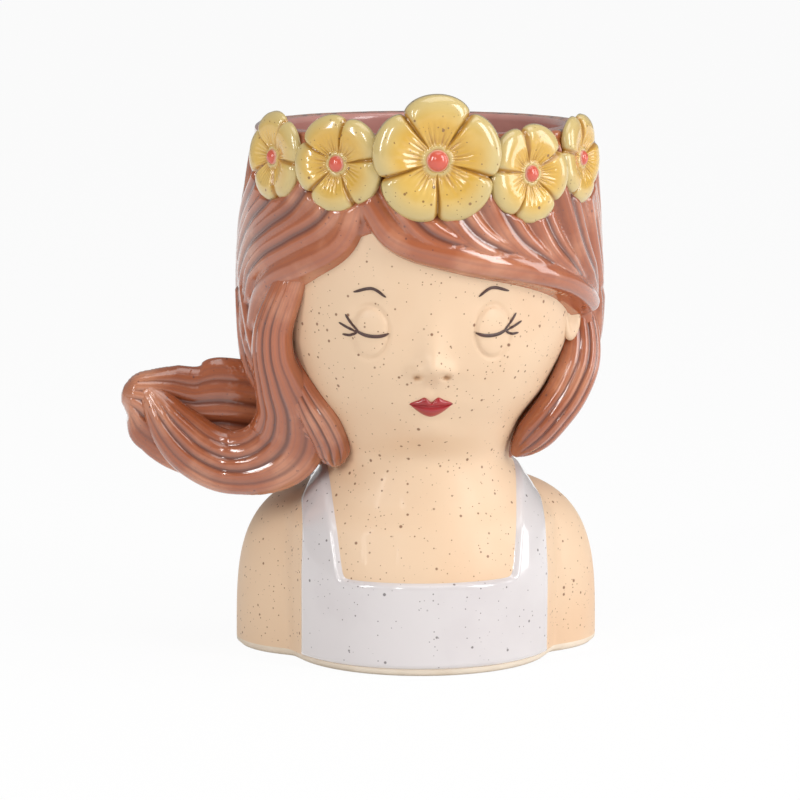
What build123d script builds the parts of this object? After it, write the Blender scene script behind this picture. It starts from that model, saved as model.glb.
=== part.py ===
from build123d import *
import os
from math import cos, radians, sin, tau

# Head planter: a slip-cast ceramic bust of a girl whose open head is the pot.
# The hair, the flower crown, the ear and the sun top are clay pieces pressed in moulds and luted
# on before firing, so each one seats on the piece that carries it. Nothing on it moves.
# Millimetres. The face looks towards -Y, +Z is up, and the origin is the middle of the foot.

# Cast body: height of each level, and the width and depth outside
FOOT_WIDTH = 90.0
FOOT_DEPTH = 91.0
CHEST_HEIGHT = 28.0
CHEST_WIDTH = 92.0
CHEST_DEPTH = 90.0
SHOULDER_HEIGHT = 45.0
SHOULDER_WIDTH = 90.0
SHOULDER_DEPTH = 82.0
COLLAR_HEIGHT = 57.0
COLLAR_WIDTH = 74.0
COLLAR_DEPTH = 70.0
NECK_HEIGHT = 69.0
NECK_WIDTH = 61.0
NECK_DEPTH = 66.0
CHIN_HEIGHT = 80.0
CHIN_WIDTH = 67.0
CHIN_DEPTH = 82.0
JAW_HEIGHT = 93.0
JAW_WIDTH = 85.0
JAW_DEPTH = 98.0
CHEEK_HEIGHT = 112.0
CHEEK_WIDTH = 101.0
CHEEK_DEPTH = 109.0
BROW_HEIGHT = 140.0
BROW_WIDTH = 106.0
BROW_DEPTH = 112.0
RIM_HEIGHT = 180.0
RIM_WIDTH = 104.0
RIM_DEPTH = 110.0

# Upper arms, cast in one with the body and set back from the chest
ARM_SPAN = 124.0
ARM_WIDTH = 56.0
ARM_DEPTH = 54.0
ARM_BACK = 17.0
ARM_TOP = 60.0
ARM_FULLNESS = 3.6

# Wall of the pot, its floor, foot ring, drain hole and rounded lip
WALL = 5.0
FLOOR = 6.0
FOOT_RECESS = 2.0
FOOT_RING = 9.0
DRAIN_BORE = 10.0
LIP_ROUND = 2.0

# Face forms, cast in one with the head: place, size and how far each stands out
NOSE_HEIGHT = 103.5
NOSE_WIDTH = 14.0
NOSE_LENGTH = 13.0
NOSE_REACH = 5.5
BRIDGE_HEIGHT = 110.0
BRIDGE_WIDTH = 7.0
BRIDGE_LENGTH = 20.0
BRIDGE_REACH = 2.0
EYE_SPACING = 40.0
EYE_HEIGHT = 116.5
LID_WIDTH = 9.5
LID_LENGTH = 13.5
LID_REACH = 1.0
MOUTH_HEIGHT = 91.0
LIP_WIDTH = 10.0
LIP_LENGTH = 4.6
LIP_REACH = 1.6

# Hair cap: thickness over the head at each level, at the side, in front and at the back
COLLAR_COVER = (-9.0, -15.0, 3.0)
CHIN_COVER = (13.0, 1.0, 11.5)
JAW_COVER = (12.5, 3.0, 9.0)
CHEEK_COVER = (8.2, 2.2, 6.2)
BROW_COVER = (5.2, 0.9, 4.8)
RIM_COVER = (3.5, 2.0, 4.0)

# Face opening in the cap: the hairline arch and the line that runs down behind the ears
HAIRLINE_TOP = 152.0
HAIRLINE_SPAN = 104.0
HAIRLINE_FOOT = 123.0
TEMPLE_FRONT = 14.0
NAPE_FRONT = 4.0

# Locks of combed clay: crown over the cap, depth of the comb grooves and bedding into the cap
LOCK_CROWN = 4.0
BACK_CROWN = 3.5
SIDE_CROWN = 6.0
GROOVE = 0.9
BEDDING = 5.0
SIDE_BEDDING = 9.0
PARTING_TURN = -24.0
BACK_LOCKS = 8
BACK_FIRST_TURN = 56.0
BACK_LAST_TURN = 238.0
BACK_SWEEP = 68.0

# Sun top, a slip relief on the chest and back
TOP_RELIEF = 1.6
HEM_HEIGHT = 2.5
NECKLINE_HEIGHT = 31.0
NECKLINE_WIDTH = 57.0
NECKLINE_WIDTH_BACK = 34.0
STRAP_WIDTH = 12.5
STRAP_TIP = 7.0
STRAP_SPREAD = 65.0

# Ear, on the one side that the hair leaves bare
EAR_TURN = 72.0
EAR_HEIGHT = 114.5
EAR_LENGTH = 13.0
EAR_DEPTH = 9.0
EAR_THICKNESS = 5.0

# Flower crown: turn from the front, drop of the centre below the rim, and radius
FLOWERS = {
    "middle": (1.0, 8.0, 22.0),
    "left": (-32.0, 9.4, 15.5),
    "right": (33.0, 12.7, 15.0),
    "far_left": (-59.0, 8.4, 14.5),
    "far_right": (62.0, 9.0, 13.5),
}
PETALS = 5
PETAL_CROWN = 2.0
PETAL_VEIN = 0.6
FLOWER_HEART = 4.2
BEAD_SHARE = 0.17
BEAD_RISE = 2.2

# Loft stations
OVAL_STEPS = 4
LOFT_STEP = 10.0

BODY = [
    (0.0, FOOT_WIDTH, FOOT_DEPTH),
    (CHEST_HEIGHT, CHEST_WIDTH, CHEST_DEPTH),
    (SHOULDER_HEIGHT, SHOULDER_WIDTH, SHOULDER_DEPTH),
    (COLLAR_HEIGHT, COLLAR_WIDTH, COLLAR_DEPTH),
    (NECK_HEIGHT, NECK_WIDTH, NECK_DEPTH),
    (CHIN_HEIGHT, CHIN_WIDTH, CHIN_DEPTH),
    (JAW_HEIGHT, JAW_WIDTH, JAW_DEPTH),
    (CHEEK_HEIGHT, CHEEK_WIDTH, CHEEK_DEPTH),
    (BROW_HEIGHT, BROW_WIDTH, BROW_DEPTH),
    (RIM_HEIGHT, RIM_WIDTH, RIM_DEPTH),
]
COVER = [
    (COLLAR_HEIGHT, *COLLAR_COVER),
    (CHIN_HEIGHT, *CHIN_COVER),
    (JAW_HEIGHT, *JAW_COVER),
    (CHEEK_HEIGHT, *CHEEK_COVER),
    (BROW_HEIGHT, *BROW_COVER),
    (RIM_HEIGHT, *RIM_COVER),
]
CLEAR = 2 * RIM_HEIGHT


def smooth(stations, at):
    """Values at a place among stations, each (place, value, ...), with no overshoot."""
    last = len(stations) - 2
    i = next((k for k in range(last) if at < stations[k + 1][0]), last)

    def slope(k, column):
        return (stations[k + 1][column] - stations[k][column]) / (stations[k + 1][0] - stations[k][0])

    def tangent(k, column):
        if k == 0:
            return slope(0, column)
        if k == len(stations) - 1:
            return slope(k - 1, column)
        before, after = slope(k - 1, column), slope(k, column)
        return 2 * before * after / (before + after) if before * after > 0 else 0.0

    span = stations[i + 1][0] - stations[i][0]
    u = (at - stations[i][0]) / span
    values = []
    for column in range(1, len(stations[0])):
        start, end = stations[i][column], stations[i + 1][column]
        values.append(
            start * (1 + 2 * u) * (1 - u) ** 2
            + end * u * u * (3 - 2 * u)
            + span * tangent(i, column) * u * (1 - u) ** 2
            + span * tangent(i + 1, column) * u * u * (u - 1)
        )
    return values


def levels(low, high):
    """Even heights from low to high, close enough for a true loft."""
    count = max(3, round((high - low) / LOFT_STEP))
    return [low + (high - low) * step / count for step in range(count + 1)]


def oval(height, width, depth, across=0.0, back=0.0):
    """A level oval of the given size, drawn as four quarter curves."""
    quarters = []
    for quarter in range(4):
        turns = [tau * (quarter + step / OVAL_STEPS) / 4 for step in range(OVAL_STEPS + 1)]
        points = [(across + width / 2 * cos(t), back + depth / 2 * sin(t), height) for t in turns]
        ends = [(-width * sin(t), depth * cos(t), 0) for t in (turns[0], turns[-1])]
        quarters.append(Spline(points, tangents=ends))
    return make_face(quarters)


def body_form(grow=0.0, low=0.0, high=RIM_HEIGHT):
    """The torso, neck and head between two heights as one filled form, grown by an offset."""
    ovals = []
    for height in levels(low, high):
        width, depth = smooth(BODY, height)
        ovals.append(oval(height, width + 2 * grow, depth + 2 * grow))
    return loft(ovals)


def arm_form(side, grow=0.0, low=0.0):
    """An upper arm from its cut end to the round of the shoulder."""
    ovals = []
    for share in (0.0, 0.2, 0.4, 0.58, 0.73, 0.86, 0.96):
        size = (1 - share**ARM_FULLNESS) ** (1 / ARM_FULLNESS)
        width = ARM_WIDTH * size + 2 * grow
        height = low + (ARM_TOP + grow - low) * share
        middle = side * (ARM_SPAN - ARM_WIDTH) * size / 2
        ovals.append(oval(height, width, ARM_DEPTH * size + 2 * grow, middle, ARM_BACK))
    return loft(ovals)


def bust_form(grow=0.0, low=0.0, high=RIM_HEIGHT):
    """Body and both arms as one filled form, grown by an offset."""
    return body_form(grow, low, high) + [arm_form(side, grow, low) for side in (-1, 1)]


def egg(width, depth, length):
    """A filled egg form on the origin."""
    return scale(Sphere(0.5), by=(width, depth, length))


def on_face(across, height, width, length, reach):
    """An egg form that stands out of the face by its reach."""
    face_width, face_depth = smooth(BODY, height)
    front = face_depth / 2 * (1 - (2 * across / face_width) ** 2) ** 0.5
    depth = 4 * reach
    return Pos(across, depth / 2 - reach - front, height) * egg(width, depth, length)


def face_forms():
    """Closed eyelids, nose and lips."""
    forms = [
        on_face(0, NOSE_HEIGHT, NOSE_WIDTH, NOSE_LENGTH, NOSE_REACH),
        on_face(0, BRIDGE_HEIGHT, BRIDGE_WIDTH, BRIDGE_LENGTH, BRIDGE_REACH),
        on_face(0, MOUTH_HEIGHT - LIP_LENGTH / 3, LIP_WIDTH, LIP_LENGTH, LIP_REACH),
    ]
    for side in (-1, 1):
        forms.append(on_face(side * EYE_SPACING / 2, EYE_HEIGHT, LID_WIDTH, LID_LENGTH, LID_REACH))
        lip_place = (side * LIP_WIDTH / 3, MOUTH_HEIGHT + LIP_LENGTH / 3)
        forms.append(on_face(*lip_place, LIP_WIDTH, LIP_LENGTH, LIP_REACH))
    return forms


def pot_shell(outside):
    """The outside form, hollowed to an even wall, with foot recess, drain hole and round lip."""
    floor_top = FOOT_RECESS + FLOOR
    cavity = bust_form(-WALL, floor_top)
    recess = extrude(oval(0, FOOT_WIDTH - 2 * FOOT_RING, FOOT_DEPTH - 2 * FOOT_RING), FOOT_RECESS)
    drain = Pos(0, 0, floor_top / 2) * Cylinder(DRAIN_BORE / 2, 2 * floor_top)
    shell = outside - [cavity, recess, drain]
    wall_middle = (RIM_DEPTH - WALL) / 2
    mouth = []
    for edge in shell.edges().group_by(Axis.Z)[-1]:
        place = edge.position_at(0.5)
        if Vector(place.X * RIM_DEPTH / RIM_WIDTH, place.Y).length < wall_middle:
            mouth.append(edge)
    return fillet(mouth, LIP_ROUND)


def hair_size(height):
    """Width, depth and set-back of the cap at a height."""
    width, depth = smooth(BODY, height)
    side, front, back = smooth(COVER, height)
    return width + 2 * side, depth + front + back, (back - front) / 2


def hair_point(turn, drop):
    """A place on the cap, turned from the front towards +X and dropped below the rim."""
    width, depth, back = hair_size(min(RIM_HEIGHT - drop, RIM_HEIGHT))
    angle = radians(turn)
    return Vector(width / 2 * sin(angle), back - depth / 2 * cos(angle), RIM_HEIGHT - drop)


def hair_look(turn, drop):
    """The way that the cap faces at a place on it."""
    around = hair_point(turn + 1, drop) - hair_point(turn - 1, drop)
    upward = hair_point(turn, drop - 2) - hair_point(turn, drop + 2)
    return around.cross(upward).normalized()


def seat(shape, *carriers):
    """The main solid of a piece after it is cut to lie on what carries it."""
    for carrier in carriers:
        shape = shape - carrier
    return max(shape.solids(), key=lambda solid: solid.volume)


def hair_form():
    """The whole of the hair under the locks as one filled form."""
    ovals = []
    for height in levels(COLLAR_HEIGHT, RIM_HEIGHT):
        width, depth, back = hair_size(height)
        ovals.append(oval(height, width, depth, 0, back))
    return loft(ovals)


def hair_cap(form, outside):
    """The cap that carries the locks, open over the face and cut to seat on the head."""
    half = HAIRLINE_SPAN / 2
    arch = [
        ThreePointArc((-half, HAIRLINE_FOOT), (0, HAIRLINE_TOP), (half, HAIRLINE_FOOT)),
        Line((half, HAIRLINE_FOOT), (-half, HAIRLINE_FOOT)),
    ]
    cheeks = Polyline(
        (-CLEAR, HAIRLINE_FOOT),
        (-TEMPLE_FRONT, HAIRLINE_FOOT),
        (-NAPE_FRONT, 0),
        (-CLEAR, 0),
        close=True,
    )
    over_face = extrude(Plane.XZ * make_face(arch), CLEAR)
    beside_face = extrude(Plane.YZ * make_face(cheeks), CLEAR, both=True)
    return seat(form, over_face, beside_face, outside)


def band(frames, ridges, groove, bedding):
    """A combed lock through frames of middle, direction, facing, half width and crown."""
    sections = []
    for middle, along, look, half, crown in frames:
        side = along.cross(look).normalized()
        face = side.cross(along).normalized()
        rise = min(crown, 0.8 * half)
        dip = min(groove, 0.4 * half / ridges)

        def point(share, drop=0.0):
            height = rise * (1 - share * share) ** 0.5
            return middle + side * (half * share) + face * (height - min(drop, height))

        shares = [step / ridges - 1 for step in range(2 * ridges + 1)]
        edges = []
        for ridge in range(ridges):
            low, peak, high = shares[2 * ridge : 2 * ridge + 3]
            edges.append(ThreePointArc(point(low, dip), point(peak), point(high, dip)))
        keel = middle - face * min(bedding, 0.95 * half)
        edges.append(ThreePointArc(point(1), keel, point(-1)))
        sections.append(make_face(edges))
    return loft(sections)


def head_lock(guide, widths, crown, ridges, stations=9):
    """A lock that follows the cap along a guide of turn and drop below the rim."""
    line = Spline([(turn, drop, 0) for turn, drop in guide])
    frames = []
    for step in range(stations + 1):
        share = step / stations
        here = line.position_at(share)
        before = line.position_at(max(share - 0.02, 0))
        after = line.position_at(min(share + 0.02, 1))
        along = (hair_point(after.X, after.Y) - hair_point(before.X, before.Y)).normalized()
        half = smooth(widths, share)[0]
        frames.append((hair_point(here.X, here.Y), along, hair_look(here.X, here.Y), half, crown))
    return band(frames, ridges, GROOVE, BEDDING)


def free_lock(path, looks, widths, crown, ridges, groove, bedding, stations=14):
    """A lock along a path in space, each looks entry being its share and facing."""
    line = Spline(path)
    frames = []
    for step in range(stations + 1):
        share = step / stations
        half = smooth(widths, share)[0]
        look = Vector(*smooth(looks, share))
        frames.append((line.position_at(share), line.tangent_at(share), look, half, crown))
    return band(frames, ridges, groove, bedding)


# Half width of each kind of lock along its length
ROLL_WIDTHS = [(0, 4.5), (0.4, 5.0), (1, 3.5)]
LOCK_WIDTHS = [(0, 9.0), (0.5, 10.0), (1, 4.0)]
BACK_WIDTHS = [(0, 12.0), (0.5, 13.0), (1, 5.0)]
NAPE_WIDTHS = [(0, 4.0), (0.5, 9.0), (1, 4.0)]
CURL_WIDTHS = [(0, 18.0), (0.25, 22.0), (0.45, 22.0), (0.62, 18.7), (0.78, 15.5), (0.92, 8.5), (1, 3.0)]
SIDE_WIDTHS = [(0, 5.0), (0.3, 7.3), (0.45, 9.0), (0.55, 11.0), (0.65, 11.0), (0.82, 10.0), (1, 3.0)]


def left_of_parting():
    """All that lies to the left of the parting, a plane through the axis of the head."""
    half_space = Pos(-CLEAR / 2, 0, CLEAR / 2) * Box(CLEAR, CLEAR, CLEAR)
    return Rot(0, 0, PARTING_TURN) * half_space


def fringe_right():
    """The long side of the parting: a rolled edge and three locks, combed down to the ear."""
    edge = [(PARTING_TURN + 2, 20), (-12, 33), (8, 39.5), (32, 44.5), (52, 50), (74, 59)]
    guides = [
        [(-12, 12), (2, 26), (22, 33.5), (46, 40.5), (68, 48), (84, 58)],
        [(8, 10), (22, 21), (42, 29.5), (64, 37), (84, 47), (98, 60)],
        [(36, 9), (50, 19), (68, 27.5), (88, 37), (104, 50)],
    ]
    roll = head_lock(edge, ROLL_WIDTHS, LOCK_CROWN, 2)
    locks = [head_lock(guide, LOCK_WIDTHS, LOCK_CROWN, 3) for guide in guides]
    return (roll + locks) - left_of_parting()


def fringe_left():
    """The short side of the parting: a rolled edge and two locks, combed down over the temple."""
    edge = [(PARTING_TURN - 1, 19), (-31, 34.5), (-45, 42.5), (-57, 48), (-68, 57), (-75, 71)]
    guides = [
        [(-27, 10), (-39, 27), (-56, 36), (-72, 48), (-83, 66)],
        [(-42, 9), (-56, 23), (-73, 36), (-88, 53), (-97, 74)],
    ]
    roll = head_lock(edge, ROLL_WIDTHS, LOCK_CROWN, 2)
    locks = [head_lock(guide, LOCK_WIDTHS, LOCK_CROWN, 3) for guide in guides]
    return (roll + locks) & left_of_parting()


def back_hair():
    """Broad locks round the back, each swept the same way by the wind and cut level at the rim."""
    locks = []
    for index in range(BACK_LOCKS):
        start = BACK_FIRST_TURN + (BACK_LAST_TURN - BACK_FIRST_TURN) * index / (BACK_LOCKS - 1)
        drops = ((0.0, -5), (0.24, 22), (0.53, 48), (0.8, 74), (1.0, 100))
        guide = [(start + BACK_SWEEP * share, drop) for share, drop in drops]
        locks.append(head_lock(guide, BACK_WIDTHS, BACK_CROWN, 3))
    above = Pos(0, 0, RIM_HEIGHT + CLEAR / 2) * Box(CLEAR, CLEAR, CLEAR)
    return (locks[0] + locks[1:]) - above


def nape_lock():
    """The lock that curls in behind the bare ear."""
    guide = [(82, 54), (91, 70), (99, 86), (107, 97), (117, 106)]
    return head_lock(guide, NAPE_WIDTHS, LOCK_CROWN, 3)


def blown_path(offsets):
    """Places given from the side of the hair at the jaw: out, back and up."""
    root = hair_point(-90, RIM_HEIGHT - JAW_HEIGHT)
    return [root + Vector(-out, back, up) for out, back, up in offsets]


def side_lock():
    """The lock that falls past the cheek, swings out at the jaw and turns up at its tip."""
    falling = [(-13, -42, 46), (-8, -36, 33), (-4.5, -32, 22), (-4, -31, 14), (-6, -27, 2)]
    swinging = [(-8, -21, -9), (-6.5, -16, -18), (0.5, -13, -24.5), (10, -10, -26.5)]
    rising = [(20, -8, -22.5), (28, -7, -15), (34, -6, -7), (39, -5, -1)]
    looks = [(0, -0.6, -0.8, 0), (0.3, -0.4, -0.9, 0), (0.5, -0.2, -1, 0), (1, 0, -1, 0)]
    path = blown_path(falling + swinging + rising)
    return free_lock(path, looks, SIDE_WIDTHS, SIDE_CROWN, 4, GROOVE, SIDE_BEDDING, 16)


def flip_curl():
    """The broad end of the blown hair, behind the side lock."""
    rooted = [(-15, 5, -18), (-1, 3, -16), (11, 1, -14)]
    blown = [(23, 0, -13), (33, -1, -9), (41, -2, -5), (46, -2, -4)]
    looks = [(0, 0, -1, 0), (1, 0, -1, 0)]
    return free_lock(blown_path(rooted + blown), looks, CURL_WIDTHS, SIDE_CROWN, 6, GROOVE, SIDE_BEDDING)


def sun_top(outside, hair):
    """Front and back panels and two straps that pass over the shoulders."""
    relief = bust_form(TOP_RELIEF, HEM_HEIGHT, CHIN_HEIGHT) - outside
    ahead = Pos(0, -CLEAR / 2, 0) * Box(CLEAR, CLEAR, CLEAR)
    sides = {
        "front": (NECKLINE_WIDTH, relief & ahead),
        "back": (NECKLINE_WIDTH_BACK, relief - ahead),
    }
    panel_height = NECKLINE_HEIGHT - HEM_HEIGHT
    pieces = {}
    for word, (width, skin) in sides.items():
        panel = Box(width + 2 * STRAP_WIDTH, CLEAR, panel_height)
        pieces["bodice_" + word] = seat(skin & Pos(0, 0, HEM_HEIGHT + panel_height / 2) * panel)
    for word, side in (("left", -1), ("right", 1)):
        runs = []
        for width, skin in sides.values():
            outline = Polyline(
                (side * width / 2, NECKLINE_HEIGHT),
                (side * (width / 2 + STRAP_WIDTH), NECKLINE_HEIGHT),
                (side * (STRAP_SPREAD / 2 + STRAP_TIP), NECK_HEIGHT),
                (side * STRAP_SPREAD / 2, NECK_HEIGHT),
                close=True,
            )
            runs.append(skin & extrude(Plane.XZ * make_face(outline), CLEAR, both=True))
        pieces["strap_" + word] = seat(runs[0] + runs[1], *hair[word])
    return pieces


def ear():
    """A small rounded ear on the side of the head."""
    width, depth = smooth(BODY, EAR_HEIGHT)
    angle = radians(EAR_TURN)
    place = Pos(width / 2 * sin(angle), -depth / 2 * cos(angle), EAR_HEIGHT)
    return place * egg(EAR_THICKNESS, EAR_DEPTH, EAR_LENGTH)


def flower(turn, drop, radius):
    """Five broad petals round a flat heart, facing out of the hair."""
    middle = hair_point(turn, drop)
    look = hair_look(turn, drop)
    across = Vector(0, 0, 1).cross(look).normalized()
    upward = look.cross(across)
    widths = [(0, 0.14), (0.35, 0.38), (0.65, 0.54), (0.88, 0.44), (1, 0.2)]
    rise = ((0.1, 1.5), (0.4, 2.5), (0.7, 4.0), (0.96, 4.0))
    petals = []
    for petal in range(PETALS):
        angle = radians(90 + 360 * petal / PETALS)
        reach = across * cos(angle) + upward * sin(angle)
        path = [middle + reach * (radius * share) + look * lift for share, lift in rise]
        looks = [(0, *look), (1, *(look + reach * 0.3))]
        halves = [(share, half * radius) for share, half in widths]
        petals.append(free_lock(path, looks, halves, PETAL_CROWN, 2, PETAL_VEIN, BEDDING, 6))
    heart = Plane(origin=middle, z_dir=look) * Cylinder(0.3 * radius, 2 * FLOWER_HEART)
    return heart + petals


def bead(turn, drop, radius):
    """The round bead on a flower's heart."""
    look = hair_look(turn, drop)
    size = BEAD_SHARE * radius
    seated = (Align.CENTER, Align.CENTER, Align.MIN)
    dome = scale(Sphere(size, arc_size1=0, align=seated), by=(1, 1, BEAD_RISE / size))
    return Plane(origin=hair_point(turn, drop) + look * FLOWER_HEART, z_dir=look) * dome


def planter():
    """Every piece by name, each cut to seat on those that carry it."""
    outside = bust_form() + face_forms()
    form = hair_form()
    cap = hair_cap(form, outside)
    right = seat(fringe_right(), outside, cap)
    left = seat(fringe_left(), outside, cap)
    side = seat(side_lock(), outside, cap, left)
    back = seat(back_hair(), form, right, left, side)
    nape = seat(nape_lock(), outside, cap, right, back)
    curl = seat(flip_curl(), outside, cap, side, back, left)
    pieces = {
        "pot_shell": pot_shell(outside),
        "hair_cap": cap,
        "fringe_right": right,
        "fringe_left": left,
        "side_lock": side,
        "flip_curl": curl,
        "back_hair": back,
        "nape_lock": nape,
        "ear": seat(ear(), outside, cap, right, nape),
    }
    pieces.update(sun_top(outside, {"left": (cap, side, curl, back), "right": (cap, back)}))
    under = {
        "middle": (right, left),
        "left": (right, left),
        "right": (right,),
        "far_left": (left,),
        "far_right": (right, back),
    }
    crown = []
    for word, place in FLOWERS.items():
        bloom = seat(flower(*place), form, *under[word], *crown[-2:])
        crown.append(bloom)
        pieces["flower_" + word] = bloom
        pieces["bead_" + word] = bead(*place)
    return pieces


os.makedirs("parts", exist_ok=True)
for node, piece in planter().items():
    export_step(piece, f"parts/{node}.step")
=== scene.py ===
# %% [markdown]
# A glazed head planter, dressed in Blender over its CAD frame. The frame gives the one body that every
# piece rides on, and the box that the dressed object has to stay inside.

# %% Load the frame
import bpy
import numpy as np
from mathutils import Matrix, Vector


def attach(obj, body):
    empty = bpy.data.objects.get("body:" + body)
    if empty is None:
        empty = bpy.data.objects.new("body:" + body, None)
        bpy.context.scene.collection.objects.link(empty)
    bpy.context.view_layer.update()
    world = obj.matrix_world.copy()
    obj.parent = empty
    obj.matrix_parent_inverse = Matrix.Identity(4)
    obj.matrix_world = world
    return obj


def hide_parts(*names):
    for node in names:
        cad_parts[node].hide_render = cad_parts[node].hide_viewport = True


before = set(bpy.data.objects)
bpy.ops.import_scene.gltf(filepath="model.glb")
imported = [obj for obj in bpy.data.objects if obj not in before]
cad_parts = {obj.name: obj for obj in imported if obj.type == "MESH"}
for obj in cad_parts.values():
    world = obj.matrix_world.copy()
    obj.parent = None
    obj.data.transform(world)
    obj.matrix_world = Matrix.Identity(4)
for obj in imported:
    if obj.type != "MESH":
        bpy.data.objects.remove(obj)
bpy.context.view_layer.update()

# %% [markdown]
# The ceramic was pressed and cast, so nearly every form on it is one soft skin. A grid primitive can be
# wrapped into each such skin: its own flat coordinates, u and v, run round the form and along it. Where two
# edges of the grid land on the same place they are merged, which closes the seam.

# %% Helpers that wrap a grid into a form
MM = 0.001
MERGE = 1e-6


def wrapped_grid(name, columns, rows, shape):
    """A grid primitive whose points are moved to shape(u, v), in millimetres, and closed at its seams."""
    bpy.ops.object.select_all(action="DESELECT")
    bpy.ops.mesh.primitive_grid_add(x_subdivisions=columns, y_subdivisions=rows, size=1)
    piece = bpy.context.object
    piece.name = name
    flat = np.empty(3 * len(piece.data.vertices))
    piece.data.vertices.foreach_get("co", flat)
    u, v = flat.reshape(-1, 3)[:, 0] + 0.5, flat.reshape(-1, 3)[:, 1] + 0.5
    points, marks = shape(u, v)
    piece.data.vertices.foreach_set("co", (points * MM).ravel())
    for word, values in marks.items():
        layer = piece.data.attributes.new(word, "FLOAT", "POINT")
        layer.data.foreach_set("value", values.astype(np.float32))
    bpy.ops.object.mode_set(mode="EDIT")
    bpy.ops.mesh.select_all(action="SELECT")
    bpy.ops.mesh.remove_doubles(threshold=MERGE)
    bpy.ops.mesh.select_all(action="SELECT")
    bpy.ops.mesh.normals_make_consistent(inside=False)
    bpy.ops.object.mode_set(mode="OBJECT")
    bpy.ops.object.shade_smooth()
    print(name, len(piece.data.polygons), "faces")
    return piece


def dress(piece, material, slot, *nodes):
    """Gives a finished piece its material and the CAD nodes that it stands for. The slot argument is not used."""
    piece.data.materials.append(material)
    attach(piece, "root")
    if nodes:
        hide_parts(*nodes)


def eased(values, low, high):
    """A soft step from 0 at low to 1 at high."""
    t = np.clip((values - low) / (high - low), 0, 1)
    return t * t * (3 - 2 * t)


def along(stations, place, column=1):
    """A smooth value at places among stations, with no overshoot."""
    table = np.array(stations, float)
    x, y = table[:, 0], table[:, column]
    slope = np.diff(y) / np.diff(x)
    tangent = np.zeros_like(y)
    tangent[0], tangent[-1] = slope[0], slope[-1]
    product = slope[:-1] * slope[1:]
    tangent[1:-1] = np.where(product > 0, 2 * product / np.where(product > 0, slope[:-1] + slope[1:], 1), 0)
    i = np.clip(np.searchsorted(x, place, side="right") - 1, 0, len(x) - 2)
    span = x[i + 1] - x[i]
    t = np.clip((place - x[i]) / span, 0, 1)
    return (
        y[i] * (1 + 2 * t) * (1 - t) ** 2
        + y[i + 1] * t * t * (3 - 2 * t)
        + span * tangent[i] * t * (1 - t) ** 2
        + span * tangent[i + 1] * t * t * (t - 1)
    )


def soft_max(first, second, blend):
    """The larger of two values, with the corner between them rounded."""
    return 0.5 * (first + second + np.sqrt((first - second) ** 2 + blend * blend))


# %% [markdown]
# The cast body is a stack of ovals: chest, neck and head. The upper arms are two more stacks, set back. The
# radius of the bust in any direction is the larger of the three, with a soft crease where an arm meets the
# chest. The sizes are those of the CAD part.

# %% Radius of the bust round its axis
RIM = 180.0
BODY = [
    (0, 90, 91), (28, 92, 90), (45, 90, 82), (57, 74, 70), (69, 61, 66),
    (80, 67, 82), (93, 85, 98), (112, 101, 109), (140, 106, 112), (RIM, 104, 110),
]
ARM_SPAN, ARM_WIDTH, ARM_DEPTH, ARM_BACK, ARM_TOP, ARM_FULLNESS = 124.0, 56.0, 54.0, 17.0, 60.0, 3.6
ARM_CREASE = 3.0


def body_radius(turn, height):
    """Radius of the chest, neck and head, turned from the front towards +X."""
    half_width, half_depth = along(BODY, height, 1) / 2, along(BODY, height, 2) / 2
    return 1 / np.sqrt((np.sin(turn) / half_width) ** 2 + (np.cos(turn) / half_depth) ** 2)


def bust_radius(turn, height):
    """Radius of the bust with both arms."""
    radius = body_radius(turn, height)
    size = np.clip(1 - (np.clip(height, 0, ARM_TOP) / ARM_TOP) ** ARM_FULLNESS, 1e-6, 1) ** (1 / ARM_FULLNESS)
    a, b = ARM_WIDTH / 2 * size, ARM_DEPTH / 2 * size
    for side in (-1, 1):
        middle = side * (ARM_SPAN - ARM_WIDTH) / 2 * size
        dx, dy = np.sin(turn), -np.cos(turn)
        square = (dx / a) ** 2 + (dy / b) ** 2
        half_linear = dx * middle / a**2 + dy * ARM_BACK / b**2
        rest = (middle / a) ** 2 + (ARM_BACK / b) ** 2 - 1
        root = half_linear**2 - square * rest
        far = np.where(root > 0, (half_linear + np.sqrt(np.maximum(root, 0))) / square, 0)
        radius = soft_max(radius, np.where(height < ARM_TOP, far, 0), ARM_CREASE)
    return radius


# %% [markdown]
# The face is doll-like and is part of the casting: closed lids, a small nose, and soft cheeks and chin. Each
# is a rounded swelling that pushes the front of the head forwards. One list holds them, so that lashes,
# brows and lips can ask for the same surface and lie on it.

# %% The face's swellings
EYE = 20.0
LID_HALF_WIDTH, LID_HALF_HEIGHT, LID_LEVEL, LID_RISE = 5.6, 8.2, 115.6, 0.75
LID_GROOVE, LID_GROOVE_AT, LID_GROOVE_SPREAD = 0.6, 1.06, 0.1
# Each swelling: across, height, spread across, spread up, reach.
NOSE = [(0.0, 103.6, 4.6, 4.0, 4.4), (0.0, 109.0, 4.6, 7.0, 1.9), (0.0, 117.0, 5.5, 8.0, 0.7)]
MOUTH_AND_CHIN = [(0.0, 81.5, 8.0, 4.5, 1.9), (0.0, 91.0, 8.5, 5.0, 0.9), (0.0, 97.3, 1.5, 2.2, -0.5)]
NOSE_WING, NOSTRIL = (5.3, 103.2, 2.4, 2.4, 2.0), (4.6, 100.9, 1.3, 0.9, -3.6)
EYEBALL, EYE_HOLLOW = (EYE, 116.0, 9.0, 8.0, 0.5), (EYE, 124.5, 9.0, 3.4, -0.7)
CHEEK_BALL = (25.0, 101.0, 12.0, 10.0, 1.3)
PAIRED = [NOSE_WING, NOSTRIL, EYEBALL, EYE_HOLLOW, CHEEK_BALL]
SWELLINGS = NOSE + [(side * across, *rest) for across, *rest in PAIRED for side in (-1, 1)] + MOUTH_AND_CHIN
print(len(SWELLINGS), "swellings in the face")


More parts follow.
